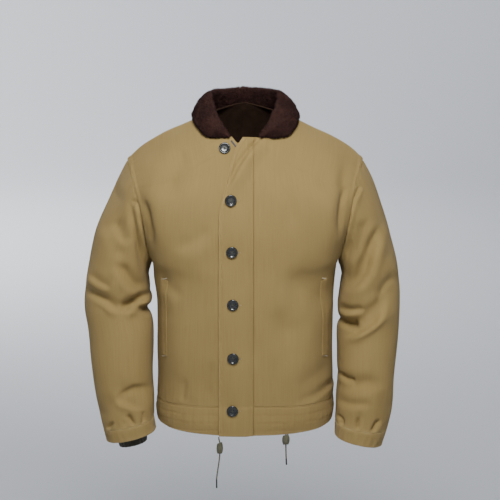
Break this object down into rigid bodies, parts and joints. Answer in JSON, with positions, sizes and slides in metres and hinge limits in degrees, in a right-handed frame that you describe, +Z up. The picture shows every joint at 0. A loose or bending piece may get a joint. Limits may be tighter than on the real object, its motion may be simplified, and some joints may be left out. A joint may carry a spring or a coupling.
{
  "type": "deck jacket",
  "caption": "Waist-length corded cotton deck jacket with a pile collar, buttoned fly front, slash pockets, knit inner cuffs and a drawstring hem band.",
  "frame": {"origin": "middle of the neck opening, level with the neck points of the shoulder seams, where a wearer's shoulders hold the jacket", "axes": "+Z up along the jacket's length, +Y towards its back, +X towards the wearer's left"},
  "size_m": [0.6539, 0.2965, 0.7943],
  "materials": {
    "corded_cotton": "khaki cotton with fine upright cords, dry and matt",
    "brown_pile": "short dark-brown pile",
    "olive_knit": "dark olive ribbed knit",
    "dark_button": "dark, half-glossy, dished",
    "dark_zip": "blackened metal and tape",
    "olive_cord": "dark olive braided cord",
    "dark_tip": "dark bound cord end"
  },
  "bodies": {
    "root": {"back": "corded_cotton", "front_right": "corded_cotton", "front_left": "corded_cotton", "fly_flap": "corded_cotton", "hem_band_right": "corded_cotton", "hem_band_left": "corded_cotton", "hem_band_back": "corded_cotton", "sleeve_right": "corded_cotton", "sleeve_left": "corded_cotton", "cuff_right": "corded_cotton", "cuff_left": "corded_cotton", "knit_cuff_right": "olive_knit", "knit_cuff_left": "olive_knit", "collar": "brown_pile", "pocket_welt_right": "corded_cotton", "pocket_welt_left": "corded_cotton", "zip_end": "dark_zip", "button_1": "dark_button", "button_2": "dark_button", "button_3": "dark_button", "button_4": "dark_button", "button_5": "dark_button", "button_6": "dark_button", "drawstring_right_upper": "olive_cord", "drawstring_right_lower": "olive_cord", "drawstring_left_lower": "olive_cord", "knot_right": "olive_cord", "knot_left": "olive_cord", "tip_right": "dark_tip", "tip_left": "dark_tip"}
  },
  "joints": []
}
